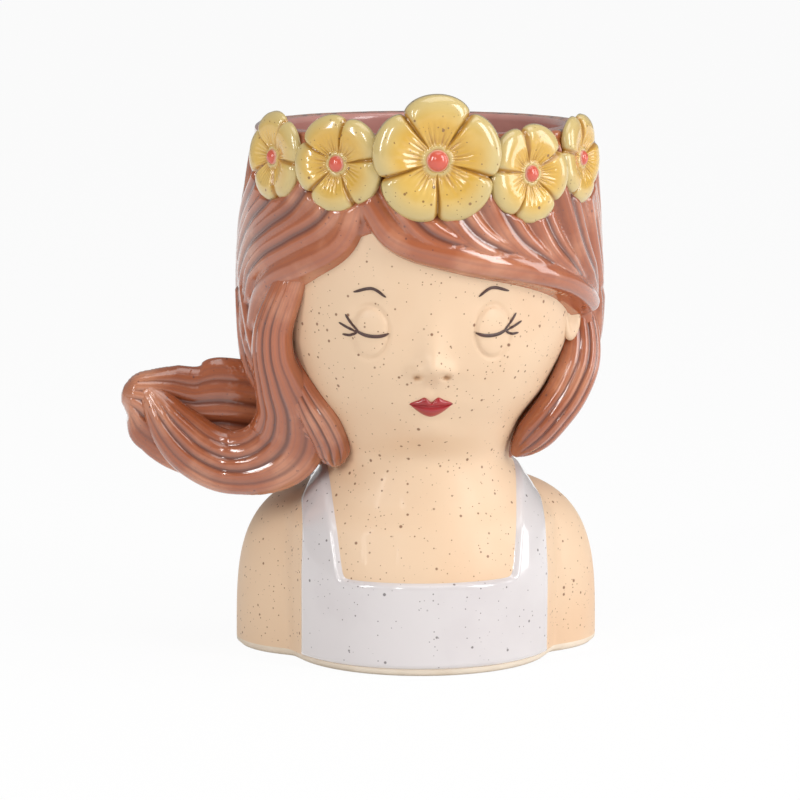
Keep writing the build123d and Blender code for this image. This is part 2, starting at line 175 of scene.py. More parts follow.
def face_reach(across, height):
    """How far the face stands out of the plain head."""
    reach = np.zeros_like(height)
    for middle, level, wide, tall, rise in SWELLINGS:
        reach = reach + rise * np.exp(-(((across - middle) / wide) ** 2) - ((height - level) / tall) ** 2)
    lid = np.hypot((np.abs(across) - EYE) / LID_HALF_WIDTH, (height - LID_LEVEL) / LID_HALF_HEIGHT)
    groove = LID_GROOVE * np.exp(-(((lid - LID_GROOVE_AT) / LID_GROOVE_SPREAD) ** 2))
    return reach + LID_RISE * np.sqrt(np.clip(1 - lid**4, 0, 1)) - groove


def on_face(across, height, lift=0.0):
    """Places on the face, lifted off it, from their distance across and their height."""
    half_width, half_depth = along(BODY, height, 1) / 2, along(BODY, height, 2) / 2
    front = half_depth * np.sqrt(np.clip(1 - (across / half_width) ** 2, 0.01, 1))
    return np.stack([across, -front - face_reach(across, height) - lift, height], axis=-1)


# %% Cast bust
WALL, FLOOR_TOP, RECESS, FOOT_RING, DRAIN, LIP = 5.0, 8.0, 2.0, 9.0, 5.0, 2.0
FOOT_ROUND = 1.6
# The face has closer rows and columns than the rest.
FACE_FOOT, FACE_TOP, FRONT_CROWD, BUST_COLUMNS = 84.0, 132.0, 0.6, 288
bust_path = [("out", z) for z in np.linspace(0, FACE_FOOT, 70)[1:]]
bust_path += [("out", z) for z in np.linspace(FACE_FOOT, FACE_TOP, 96)[1:]]
bust_path += [("out", z) for z in np.linspace(FACE_TOP, RIM, 44)[1:-1]]
bust_path += [("lip", t) for t in np.linspace(0, 1, 7)]
bust_path += [("in", z) for z in np.linspace(RIM - LIP, FLOOR_TOP, 60)[1:]]
bust_path += [("floor", t) for t in np.linspace(0, 1, 8)[1:]]
bust_path += [("drain", z) for z in (6.0, 4.0, RECESS)]
bust_path += [("under", t) for t in np.linspace(0, 1, 6)[1:]]
bust_path += [("ring", t) for t in np.linspace(0, 1, 5)]


def bust_shape(u, v):
    """The bust's skin: up the outside, over the lip, down the inside, through the drain and back under the foot."""
    turn = 2 * np.pi * u - FRONT_CROWD * np.sin(2 * np.pi * u)
    row = np.rint(v * len(bust_path)).astype(int) % len(bust_path)
    radius, height = np.zeros_like(u), np.zeros_like(u)
    reach = np.zeros_like(u)
    floor_radius = bust_radius(turn, np.full_like(u, FLOOR_TOP)) - WALL
    foot = body_radius(turn, np.zeros_like(u)) - FOOT_ROUND
    full_foot = bust_radius(turn, np.zeros_like(u)) - FOOT_ROUND
    for index, (kind, place) in enumerate(bust_path):
        here = row == index
        if kind == "out":
            height[here] = place
            radius[here] = bust_radius(turn[here], height[here])
            radius[here] -= FOOT_ROUND * (1 - np.clip(place / FOOT_ROUND, 0, 1)) ** 2
            across = radius[here] * np.sin(turn[here])
            reach[here] = np.where(np.cos(turn[here]) > 0, face_reach(across, height[here]), 0)
        elif kind == "lip":
            angle = np.pi / 2 * place
            height[here] = RIM - LIP + LIP * np.cos(angle)
            radius[here] = body_radius(turn[here], height[here]) - (WALL - LIP) - LIP * np.sin(angle)
        elif kind == "in":
            height[here] = place
            radius[here] = bust_radius(turn[here], height[here]) - WALL
        elif kind == "floor":
            height[here] = FLOOR_TOP
            radius[here] = floor_radius[here] + (DRAIN - floor_radius[here]) * place
        elif kind == "drain":
            height[here], radius[here] = place, DRAIN
        elif kind == "under":
            height[here] = RECESS
            radius[here] = DRAIN + (foot[here] - FOOT_RING - DRAIN) * place
        else:
            height[here] = RECESS * (1 - min(1, 4 * place))
            radius[here] = foot[here] - FOOT_RING + (full_foot[here] - foot[here] + FOOT_RING) * place
    points = np.stack([radius * np.sin(turn), -radius * np.cos(turn) - reach, height], axis=-1)
    return points, {}


bust = wrapped_grid("cast_bust", BUST_COLUMNS, len(bust_path), bust_shape)

# %% [markdown]
# The hair is a thick cap of clay with locks pressed on it and combed with a toothed tool. One skin carries it
# all: it starts as the cap, and each lock swells it along a guide drawn on the head. Across a lock the swelling
# is half round, split by the comb into ridges. The skin keeps marks for each point, the place across the
# comb and the depth of the groove, and each lock has a tint of its own, for the glaze to follow. The groove
# mark darkens the glaze in the grooves as painted shade, partly pooled glaze.

# %% Hair cap and guides
COVER = [
    (57, -9, -15, 3), (80, 13, 1, 11.5), (93, 12.5, 3, 9), (112, 8.2, 2.2, 6.2), (140, 5.2, 0.9, 4.8),
    (RIM, 3.5, 2, 4),
]
COLLAR = 57.0
# Half widths along a lock, by the share of its length.
ROLL = [(0, 4.5), (0.4, 5.0), (1, 3.5)]
BACK = [(0, 12.0), (0.5, 13.0), (1, 5.0)]
NAPE = [(0, 4.0), (0.5, 9.0), (1, 4.0)]
STRAND = [(0, 7.0), (0.5, 6.5), (1, 3.0)]
CHEEK = [(0, 5.0), (0.4, 8.0), (1, 4.5)]
# Guides are in degrees from the front and millimetres below the rim.
RIGHT_EDGE = [(-22, 20), (-12, 33), (8, 39.5), (32, 44.5), (52, 50), (74, 59)]
FRINGE_RIGHT = [(RIGHT_EDGE, ROLL, 1)]
for start in (-15, 0, 15, 30, 46, 62, 78):
    foot = float(np.interp(start + 30, *np.transpose(RIGHT_EDGE))) + max(0, start - 44) * 0.45
    guide = [(start, 8), (start + 5, 20), (start + 14, 0.45 * foot + 13), (start + 30, foot - 3)]
    FRINGE_RIGHT.append((guide, STRAND, 2))
FRINGE_LEFT = [
    ([(-25, 19), (-31, 34.5), (-45, 42.5), (-57, 48), (-68, 57), (-75, 71)], ROLL, 1),
    ([(-27, 10), (-36, 27), (-50, 35.5), (-63, 42), (-73, 50), (-82, 66)], STRAND, 2),
    ([(-36, 8), (-47, 24), (-60, 32), (-73, 40), (-83, 52), (-90, 68)], STRAND, 2),
    ([(-48, 8), (-59, 22), (-72, 31), (-83, 42), (-92, 56), (-98, 74)], STRAND, 2),
    ([(-62, 8), (-72, 20), (-83, 30), (-93, 42), (-101, 58), (-106, 76)], STRAND, 2),
]
NAPE_LOCKS = [
    ([(82, 54), (91, 70), (99, 86), (107, 97), (117, 106)], NAPE, 3),
    ([(-86, 56), (-82, 70), (-78, 83), (-71, 94), (-54, 104)], CHEEK, 3),
]
BACK_DROPS = ((0, -5), (0.22, 22), (0.48, 48), (0.72, 74), (0.9, 98), (1, 116))
BACK_SWEEP = 68
BACK_LOCKS = []
for start in np.linspace(56, 238, 8):
    BACK_LOCKS.append(([(start + BACK_SWEEP * share, drop) for share, drop in BACK_DROPS], BACK, 4))
LOCK_CROWN, BACK_CROWN = 4.0, 3.5
print(len(FRINGE_RIGHT + FRINGE_LEFT + NAPE_LOCKS + BACK_LOCKS), "locks on the cap")


def cap_point(turn, height):
    """A place on the cap from its turn in radians and its height."""
    level = np.clip(height, COLLAR, RIM)
    width = along(BODY, level, 1) + 2 * along(COVER, level, 1)
    front, back = along(COVER, level, 2), along(COVER, level, 3)
    depth = along(BODY, level, 2) + front + back
    middle = (back - front) / 2
    return np.stack([width / 2 * np.sin(turn), middle - depth / 2 * np.cos(turn), height], axis=-1)


def cap_look(turn, height):
    """The way that the cap faces."""
    turn_step, rise_step = 0.01, 0.5
    round_it = cap_point(turn + turn_step, height) - cap_point(turn - turn_step, height)
    up_it = cap_point(turn, np.minimum(height + rise_step, RIM)) - cap_point(turn, height - rise_step)
    look = np.cross(round_it, up_it)
    return look / np.linalg.norm(look, axis=-1, keepdims=True)


def curve_through(points, count):
    """Even samples of a smooth curve through points."""
    points = np.array(points, float)
    chord = np.concatenate([[0], np.cumsum(np.linalg.norm(np.diff(points, axis=0), axis=1))])
    knots = np.linspace(0, chord[-1], 40 * count)
    before = np.vstack([2 * points[0] - points[1], points, 2 * points[-1] - points[-2]])
    reach = np.concatenate([[-chord[1]], chord, [2 * chord[-1] - chord[-2]]])
    slopes = (before[2:] - before[:-2]) / (reach[2:] - reach[:-2])[:, None]
    i = np.clip(np.searchsorted(chord, knots, side="right") - 1, 0, len(points) - 2)
    span = (chord[i + 1] - chord[i])[:, None]
    t = (knots - chord[i])[:, None] / span
    line = (
        points[i] * (1 + 2 * t) * (1 - t) ** 2 + points[i + 1] * t * t * (3 - 2 * t)
        + span * slopes[i] * t * (1 - t) ** 2 + span * slopes[i + 1] * t * t * (t - 1)
    )
    length = np.concatenate([[0], np.cumsum(np.linalg.norm(np.diff(line, axis=0), axis=1))])
    even = np.linspace(0, length[-1], count)
    return np.stack([np.interp(even, length, line[:, k]) for k in range(points.shape[1])], axis=-1)


# %% Height of the locks over the cap
EDGE_SLOPE = 2.2
COMB_GROOVE = 1.3
WINDOW_SINK = 2.5
GUIDE_SAMPLES = 120
HAIRLINE_TOP, HAIRLINE_FOOT, HAIRLINE_HALF = 152.0, 123.0, 52.0
# The bare face runs back to this place at the temples, and further back towards the foot.
CHEEK_EDGE, CHEEK_SLANT, FACE_BACK = -14, 10, 20
hairline_drop = HAIRLINE_TOP - HAIRLINE_FOOT
hairline_radius = (HAIRLINE_HALF**2 + hairline_drop**2) / (2 * hairline_drop)


def lock_height(points, guide, widths, ridges, crown):
    """Height of one lock over the cap at points on it, with its comb place and its groove mark for painted shade."""
    line = curve_through(guide, GUIDE_SAMPLES)
    turn, height = np.radians(line[:, 0]), RIM - line[:, 1]
    middle, look = cap_point(turn, height), cap_look(turn, height)
    heading = np.gradient(middle, axis=0)
    heading /= np.linalg.norm(heading, axis=1, keepdims=True)
    side = np.cross(heading, look)
    half = along(widths, np.linspace(0, 1, GUIDE_SAMPLES))
    nearest = np.zeros(len(points), int)
    best = np.full(len(points), np.inf)
    for k in range(GUIDE_SAMPLES):
        gap = ((points - middle[k]) ** 2).sum(axis=1)
        closer = gap < best
        best[closer], nearest[closer] = gap[closer], k
    away = points - middle[nearest]
    pitch = np.linalg.norm(middle[1] - middle[0])
    run = np.clip((away * heading[nearest]).sum(axis=1), -pitch, pitch)
    spread = np.sqrt(np.maximum(best - run**2, 0)) / half[nearest]
    share = spread * np.sign((away * side[nearest]).sum(axis=1))
    rise = np.minimum(crown, 0.8 * half[nearest])
    dome = rise * np.sqrt(np.clip(1 - spread**2, 0, 1)) - EDGE_SLOPE * half[nearest] * np.maximum(spread - 1, 0)
    comb = (np.clip(share, -1, 1) + 1) / 2 * ridges
    groove = (1 - np.abs(np.sin(np.pi * comb))) * (1 - eased(spread, 0.8, 0.98))
    if ridges == 1:
        groove = 0 * groove
    dome = dome - np.minimum(COMB_GROOVE, half[nearest] / ridges / 2) * groove
    return dome, comb, groove**1.4


def window_depth(points):
    """How far places on the cap lie inside the opening that leaves the face bare."""
    x, y, z = points.T
    arch = hairline_radius - np.hypot(x, z - (HAIRLINE_TOP - hairline_radius))
    cheek = CHEEK_EDGE + (HAIRLINE_FOOT - z) * CHEEK_SLANT / HAIRLINE_FOOT - y
    bare = np.where(z > HAIRLINE_FOOT, np.minimum(arch, cheek + 40), np.minimum(cheek, arch + 60))
    return np.where(y < FACE_BACK, bare, -5)


# %% Hair skin
FLOWERS = {
    "middle": (1.0, 8.0, 22.0), "left": (-31.5, 9.6, 16.8), "right": (33.0, 13.2, 17.0),
    "far_left": (-59.5, 9.0, 15.6), "far_right": (61.0, 10.0, 15.6),
}
FLOWER_SPIN = {"middle": 0.05, "left": 0.12, "right": -0.02, "far_left": 0.08, "far_right": 0.16}
FLOWER_BED = 0.4
HAIR_ROWS, HAIR_COLUMNS = 172, 480
INNER_DEPTH = 3.6
RIM_ROUND = 1.8
RIM_LOCK_SHARE = 0.35
COMB_STEP, TINT_STEP = 7, 0.618
hair_path = [("in", z) for z in np.linspace(COLLAR, RIM - 3, 14)]
hair_path += [("rim", t) for t in np.linspace(0, 1, 6)]
hair_path += [("out", z) for z in np.linspace(RIM - RIM_ROUND, COLLAR, HAIR_ROWS)]


def hair_shape(u, v):
    """The hair's skin: up inside against the bust, over the rim and down outside over the locks."""
    turn = 2 * np.pi * u
    row = np.rint(v * len(hair_path)).astype(int) % len(hair_path)
    kinds = np.array([kind for kind, place in hair_path])[row]
    places = np.array([place for kind, place in hair_path])[row]
    height = np.where(kinds == "rim", RIM - RIM_ROUND, places)
    cap = cap_point(turn, height)
    look = cap_look(turn, height)
    body = bust_radius(turn, height)
    direction = np.stack([np.sin(turn), -np.cos(turn), 0 * turn], axis=-1)
    skin = body[:, None] * direction + np.stack([0 * turn, 0 * turn, height], axis=-1)
    cover = ((cap - skin) * direction).sum(axis=1)
    level = -EDGE_SLOPE * np.maximum(window_depth(cap), 0)
    comb, groove, tint = np.zeros_like(u), np.zeros_like(u), np.zeros_like(u)
    locks = [(lock, LOCK_CROWN) for lock in FRINGE_RIGHT + FRINGE_LEFT + NAPE_LOCKS]
    locks += [(lock, BACK_CROWN) for lock in BACK_LOCKS]
    for count, ((guide, widths, ridges), crown) in enumerate(locks, 1):
        dome, place, dip = lock_height(cap, guide, widths, ridges, crown)
        over = dome > level
        level = np.where(over, dome, level)
        comb = np.where(over, place + COMB_STEP * count, comb)
        groove = np.where(over, dip, groove)
        tint = np.where(over, (count * TINT_STEP) % 1, tint)
    for angle, drop, radius in FLOWERS.values():
        seat = cap_point(np.radians(angle), np.array(RIM - drop))
        gap = np.linalg.norm(cap - seat, axis=1)
        level = np.minimum(level, FLOWER_BED + LOCK_CROWN * eased(gap, 0.75 * radius, 0.98 * radius))
    level = level * np.where(level > 0, RIM_LOCK_SHARE + (1 - RIM_LOCK_SHARE) * eased(RIM - height, 1, 9), 1)
    level = np.maximum(level, -cover - WINDOW_SINK)
    sideways = look * np.array([1, 1, 0])
    sideways /= np.linalg.norm(sideways, axis=1, keepdims=True)
    outside = cap + sideways * level[:, None]
    inside = skin - direction * INNER_DEPTH
    angle = np.pi / 2 * places
    turned = outside - direction * (RIM_ROUND * (1 - np.sin(angle)))[:, None]
    turned[:, 2] = RIM - RIM_ROUND + RIM_ROUND * np.cos(angle)
    covered = np.where((kinds == "rim")[:, None], turned, inside)
    points = np.where((kinds == "out")[:, None], outside, covered)
    return points, {"comb": comb, "groove": groove, "tint": tint}


hair = wrapped_grid("combed_hair", HAIR_COLUMNS, len(hair_path), hair_shape)

# %% [markdown]
# Four locks stand free of the cap. One falls past the cheek, swings out and turns up, and a broad one is blown
# out behind it. A short one hangs beside the left cheek and another under the ear. Each is a tube whose
# section is flatter above than below and combed into ridges, and it narrows to a blunt tip.

# %% Free locks
BLOWN_ROOT = cap_point(np.radians(-90.0), np.array(93.0))
SIDE_PATH = [
    (-15, -37, 50), (-8.5, -35.5, 34), (-4.5, -32, 22), (-4, -31, 14), (-6, -27, 2), (-8, -21, -9), (-6.5, -16, -18),
    (0.5, -13, -24.5), (10, -10, -26.5), (20, -8, -22.5), (28, -7, -15), (34, -6, -7), (39, -5, -1),
]
SIDE_LOOKS = [(0, -0.6, -0.8), (0.3, -0.4, -0.9), (0.5, -0.2, -1), (1, 0, -1)]
SIDE_HALF = [(0, 3.0), (0.1, 5.6), (0.3, 7.3), (0.45, 9.0), (0.55, 11.0), (0.65, 11.0), (0.82, 10.0), (1, 7.0)]
SIDE_FULL = [(0, 1.0), (0.3, 1.0), (0.42, 1.35), (0.55, 1.45), (0.7, 1.0), (1, 1.0)]
CURL_PATH = [(-15, 5, -18), (-1, 3, -16), (11, 1, -14), (23, 0, -13), (33, -1, -9), (41, -2, -5), (46, -2, -4)]
CURL_HALF = [(0, 18.0), (0.25, 21.5), (0.45, 21.5), (0.62, 18.7), (0.8, 15.2), (0.92, 11.5), (1, 9.0)]
CURL_LOOKS = [(0, 0, -1), (1, 0, -1)]
EAR_LOCK_PATH = [
    (49, -3, 126), (53, -9, 114), (53, -13, 102), (48.5, -16, 91), (42, -17.5, 82), (36, -16.5, 75), (30, -14.5, 69),
]
EAR_LOCK_LOOKS = [(0, 0.5, -0.9), (1, 0.35, -0.95)]
EAR_LOCK_HALF = [(0, 3.0), (0.25, 6.5), (0.5, 7.6), (0.8, 7.0), (1, 5.0)]
CHEEK_LOCK_PATH = [
    (-44, -22, 104), (-42, -25.5, 96), (-38, -25.5, 88), (-34, -23.5, 81), (-31, -20.5, 74), (-29.5, -16.5, 66),
]
CHEEK_LOCK_LOOKS = [(0, -0.5, -0.9), (1, -0.2, -1)]
CHEEK_LOCK_HALF = [(0, 2.0), (0.3, 4.5), (0.6, 6.2), (0.85, 6.0), (1, 4.5)]
EVEN = [(0, 1.0), (1, 1.0)]
TIP_ROUND = 0.2
END_SHARE = 0.015
FREE_CROWN, FREE_BEDDING, FREE_GROOVE = 6.0, 9.0, 1.4
FREE_STEPS, FREE_COLUMNS, FREE_ROWS = 240, 192, 160


def from_root(offsets):
    """Places given from the side of the hair at the jaw: out, back and up."""
    return [BLOWN_ROOT + np.array([-out, back, up]) for out, back, up in offsets]


def free_lock(name, path, looks, halves, full, ridges, first_comb):
    """A combed tube along a path, with its facing, half width and inner fullness along it."""

    def shape(u, v):
        line = curve_through(path, FREE_STEPS + 1)
        heading = np.gradient(line, axis=0)
        heading /= np.linalg.norm(heading, axis=1, keepdims=True)
        tip = np.clip((v - END_SHARE) / (1 - 2 * END_SHARE), 0, 1)
        step = np.rint(tip * FREE_STEPS).astype(int)
        look = np.stack([along(looks, tip, 1), along(looks, tip, 2), 0 * tip], axis=-1)
        side = np.cross(heading[step], look)
        side /= np.linalg.norm(side, axis=1, keepdims=True)
        face = np.cross(side, heading[step])
        blunt = np.clip((tip - 1 + TIP_ROUND) / TIP_ROUND, 0, 1)
        half = along(halves, tip) * np.sqrt(np.clip(1 - blunt**2, 0.0025, 1))
        combed = eased(tip, 0.04, 0.25) * (1 - eased(tip, 0.88, 0.99))
        closing = np.where((v <= 0) | (v >= 1), 0, 1)
        angle = 2 * np.pi * u
        share = np.cos(angle)
        upper = np.sin(angle) >= 0
        rise = np.minimum(FREE_CROWN, 0.8 * half)
        comb = (share + 1) / 2 * ridges
        groove = 1 - np.abs(np.sin(np.pi * comb))
        deep = np.minimum(FREE_GROOVE, 0.5 * half / ridges) * np.sin(angle) ** 2 * combed
        keel = np.minimum(FREE_BEDDING, 0.95 * half)
        height = np.where(upper, rise * np.sin(angle), keel * np.sin(angle))
        height = height - np.sign(np.sin(angle)) * deep * groove
        reach = half * share * np.where(share < 0, along(full, tip), 1)
        points = line[step] + closing[:, None] * (side * reach[:, None] + face * height[:, None])
        # Painted shade, partly pooled glaze: this mark darkens the grooves between the ridges, most on the top and
        # the underside.
        painted_groove_shade = groove**1.4 * np.sin(angle) ** 2 * combed
        return points, {"comb": comb + first_comb, "groove": painted_groove_shade, "tint": 0.35 + 0.6 * tip * tip}

    return wrapped_grid(name, FREE_COLUMNS, FREE_ROWS, shape)


side_lock = free_lock("side_lock_combed", from_root(SIDE_PATH), SIDE_LOOKS, SIDE_HALF, SIDE_FULL, 5, 150)
flip_curl = free_lock("flip_curl_combed", from_root(CURL_PATH), CURL_LOOKS, CURL_HALF, EVEN, 6, 170)
ear_lock = free_lock("ear_lock_combed", EAR_LOCK_PATH, EAR_LOCK_LOOKS, EAR_LOCK_HALF, EVEN, 4, 190)
cheek_lock = free_lock("cheek_lock_combed", CHEEK_LOCK_PATH, CHEEK_LOCK_LOOKS, CHEEK_LOCK_HALF, EVEN, 4, 210)

# %% [markdown]
# The sun top is a thin coat of slip laid on the chest: a panel, front and back, and two straps over the
# shoulders. It is a ring of the bust's own skin that rises where there is cloth and dives under the clay
# where there is none, so that its edge is soft like a brushed one.

# %% Sun top
TOP_RELIEF, TOP_SINK, HEM, NECKLINE, STRAP_TOP = 1.5, 1.4, 2.5, 31.0, 69.0
PANEL_FRONT, PANEL_BACK, STRAP, STRAP_TIP, STRAP_SPREAD = 57.0, 34.0, 12.5, 7.0, 65.0
TOP_ROWS, TOP_COLUMNS, TOP_INNER = 116, 420, 3.5
top_path = [("out", z) for z in np.linspace(HEM, STRAP_TOP, TOP_ROWS)]
top_path += [("in", z) for z in np.linspace(STRAP_TOP - 1, HEM + 0.5, 12)]


def cloth_depth(across, height, panel):
    """How far a place lies inside the outline of the sun top."""
    across = np.abs(across)
    climb = np.clip((height - NECKLINE) / (STRAP_TOP - NECKLINE), 0, 1)
    inner = panel / 2 + (STRAP_SPREAD / 2 - panel / 2) * climb
    outer = panel / 2 + STRAP + (STRAP_SPREAD / 2 + STRAP_TIP - panel / 2 - STRAP) * climb
    below_neckline = NECKLINE - height
    inside_strap = soft_max(across - inner, below_neckline, 1.5)
    return np.minimum(np.minimum(inside_strap, outer - across), height - HEM - 0.2)


def top_shape(u, v):
    """The slip's skin: up the outside and down again inside the clay."""
    turn = 2 * np.pi * u
    row = np.rint(v * len(top_path)).astype(int) % len(top_path)
    kinds = np.array([kind for kind, place in top_path])[row]
    height = np.array([place for kind, place in top_path])[row]
    radius = bust_radius(turn, height)
    panel = PANEL_BACK + (PANEL_FRONT - PANEL_BACK) * eased(np.cos(turn), -0.15, 0.15)
    depth = cloth_depth(radius * np.sin(turn), height, panel)
    lift = -TOP_SINK + (TOP_RELIEF + TOP_SINK) * np.sqrt(eased(depth, -0.9, 1.2))
    lift = np.where(height > STRAP_TOP - 0.4, -TOP_SINK, lift)
    radius = radius + np.where(kinds == "out", lift, -TOP_INNER)
    points = np.stack([radius * np.sin(turn), -radius * np.cos(turn), height], axis=-1)
    return points, {}


sun_top = wrapped_grid("sun_top_slip", TOP_COLUMNS, len(top_path), top_shape)

# %% [markdown]
# Each flower of the crown has five broad petals round a sunken heart. A grid wrapped round a
# pole gives the whole bloom: the rim swings out in five lobes, the petals cup and overlap in
# turn, and veins run out from the heart. Glaze pools in the folds and shade falls there, so each point keeps a
# mark of how deep it lies, which darkens the glaze as pooled glaze and painted shade. A bead of glaze sits in each
# heart.

# %% Flowers and beads
PETALS = 5
FRONT_ROWS, BACK_ROWS, FLOWER_COLUMNS = 46, 8, 240
# Heights on a flower of the drawn radius; smaller flowers scale them.
DRAWN_RADIUS = 22.0
HEART, CUP, PETAL_DOME, PETAL_LAP, COLLAR_RISE, VEIN, FOLD = 3.2, 2.1, 0.5, 0.65, 0.9, 0.22, 1.3
FLOWER_BACK = -2.0
BEAD_SHARE, BEAD_LEVEL, BEAD_SINK, BEAD_FLAT = 0.17, 4.5, 0.35, 0.85


def flower_axes(turn, drop):
    """Middle, outward, sideways and upward directions of a flower on the cap."""
    angle, height = np.radians(turn), np.array(RIM - drop)
    middle, look = cap_point(np.array(angle), height), cap_look(np.array(angle), height)
    across = np.cross([0, 0, 1], look)
    across /= np.linalg.norm(across)
    return middle, look, across, np.cross(look, across)


def flower(word, turn, drop, radius):
    """One flower of the crown, from the middle of its back round the rim to its heart."""
    middle, look, across, upward = flower_axes(turn, drop)
    size = radius / DRAWN_RADIUS

    def shape(u, v):
        rows = FRONT_ROWS + BACK_ROWS
        row = np.rint(v * rows)
        front = row >= BACK_ROWS
        share = np.where(front, 1 - (row - BACK_ROWS) / FRONT_ROWS, row / BACK_ROWS)
        angle = 2 * np.pi * u
        petal = (PETALS * (u - FLOWER_SPIN[word]) + 0.5) % 1 * 2 - 1
        lobe = 0.80 + 0.17 * np.sqrt(np.clip(1 - np.abs(petal) ** 2.4, 0, 1))
        fold = np.exp(-(((1 - np.abs(petal)) / 0.1) ** 2)) * eased(share, 0.2, 0.5)
        rays = np.cos(7 * np.pi * petal + 1.5 * np.sin(3 * angle))
        rays = rays * eased(share, 0.18, 0.3) * (1 - eased(share, 0.36, 0.7))
        rays = rays * (0.65 + 0.35 * np.sin(11 * angle + 4 * FLOWER_SPIN[word]))
        dish = HEART * size + CUP * size * eased(share, 0.1, 0.62)
        dish = dish + PETAL_DOME * size * (1 - petal**2) * eased(share, 0.4, 0.7)
        edge = np.sqrt(np.clip(1 - (np.clip(share - 0.7, 0, 1) / 0.3) ** 2, 0, 1))
        lap = PETAL_LAP * size * petal * eased(share, 0.3, 0.6)
        ring = np.exp(-(((share - 0.2) / 0.045) ** 2))
        collar = COLLAR_RISE * size * ring
        height = (dish + lap + collar + VEIN * size * rays - FOLD * size * fold) * (0.25 + 0.75 * edge)
        height = np.where(front, height, FLOWER_BACK + HEART * share**3 * size)
        # The deep mark is painted shade as well as pooled glaze: the folds between petals, the troughs of the veins,
        # the heart and the whole hidden back.
        deep = np.clip(0.9 * fold + 0.35 * eased(-rays, 0.0, 0.8) + 0.5 * (1 - eased(share, 0.12, 0.5)), 0, 1)
        deep = deep * (1 - 0.8 * ring)
        pale = np.maximum(eased(share, 0.55, 0.95), ring)
        out = radius * share * lobe
        points = middle + look * height[:, None] + across * (out * np.cos(angle))[:, None]
        points = points + upward * (out * np.sin(angle))[:, None]
        return points, {"deep": np.where(front, deep, 1.0), "pale": pale}

    return wrapped_grid("flower_" + word + "_petals", FLOWER_COLUMNS, FRONT_ROWS + BACK_ROWS, shape)


def bead(word, turn, drop, radius):
    """The flattened drop of glaze in a flower's heart, marked by how near each point is to its top."""
    middle, look, _, _ = flower_axes(turn, drop)
    size = BEAD_SHARE * radius
    place = (middle + look * (radius / DRAWN_RADIUS * BEAD_LEVEL - BEAD_SINK * size)) * MM
    bpy.ops.object.select_all(action="DESELECT")
    turned = Vector(look).to_track_quat("Z", "Y").to_euler()
    bpy.ops.mesh.primitive_uv_sphere_add(
        segments=40, ring_count=24, radius=size * MM, location=place, rotation=turned
    )
    drop_of_glaze = bpy.context.object
    drop_of_glaze.name = "bead_" + word + "_drop"
    ring = drop_of_glaze.data.attributes.new("ring", "FLOAT", "POINT")
    for point, vertex in zip(ring.data, drop_of_glaze.data.vertices):
        point.value = vertex.co.z / (size * MM)
    drop_of_glaze.scale.z = BEAD_FLAT
    bpy.ops.object.transform_apply(location=True, rotation=True, scale=True)
    bpy.ops.object.shade_smooth()
    return drop_of_glaze


flowers = {word: flower(word, *place) for word, place in FLOWERS.items()}
beads = {word: bead(word, *place) for word, place in FLOWERS.items()}
print(len(flowers), "flowers and", len(beads), "beads")

# %% [markdown]
# The features of the face are painted in raised slip: closed lash lines with three lashes each, short brows,
# and lips. A stroke is a thin tube along a line on the face, thick in the middle and pointed at the ends.

# %% Lashes and brows
STROKE_STEPS, STROKE_COLUMNS = 48, 14
STROKE_LIFT, STROKE_FLAT = 0.28, 0.55
LASH_LINE_HALF, BROW_HALF, LASH_HALF = 0.58, 0.5, 0.42
# Places are measured outwards from the middle of the eye, with their height.
LASH_LINE = [(-6.0, 115.4), (-2.5, 114.5), (1.5, 114.7), (5.0, 116.2)]
BROW = [(-5.0, 127.2), (-0.5, 130.0), (5.5, 128.6)]
LASHES = [
    [(4.2, 115.6), (6.2, 114.4), (8.9, 114.5)],
    [(4.6, 115.6), (7.4, 116.9), (10.0, 118.3)],
    [(3.8, 115.8), (6.0, 118.2), (8.0, 121.2)],
]


def stroke(name, line, thick):
    """A pointed stroke of slip along a line of (across, height) on the face."""
    flat = curve_through(line, STROKE_STEPS + 1)

    def shape(u, v):
        step = np.rint(v * STROKE_STEPS).astype(int)
        here = flat[step]
        heading = np.gradient(flat, axis=0)[step]
        heading /= np.linalg.norm(heading, axis=1, keepdims=True)
        width = thick * np.sqrt(np.clip(1 - (2 * v - 1) ** 4, 0, 1))
        angle = 2 * np.pi * u
        x = here[:, 0] - heading[:, 1] * width * np.cos(angle)
        z = here[:, 1] + heading[:, 0] * width * np.cos(angle)
        return on_face(x, z, STROKE_FLAT * width * np.sin(angle) + STROKE_LIFT), {}

    return wrapped_grid(name, STROKE_COLUMNS, STROKE_STEPS, shape)


strokes = []
for word, side in (("left", -1), ("right", 1)):
    drawn = [("lash_line_" + word, LASH_LINE, LASH_LINE_HALF), ("brow_" + word, BROW, BROW_HALF)]
    drawn += [(f"lash_{word}_{index}", lash, LASH_HALF) for index, lash in enumerate(LASHES, 1)]
    for name, line, thick in drawn:
        strokes.append(stroke(name, [(side * (EYE + out), height) for out, height in line], thick))
print(len(strokes), "strokes")

# %% Lips
LIP_HALF, LIP_LEVEL = 7.2, 90.8


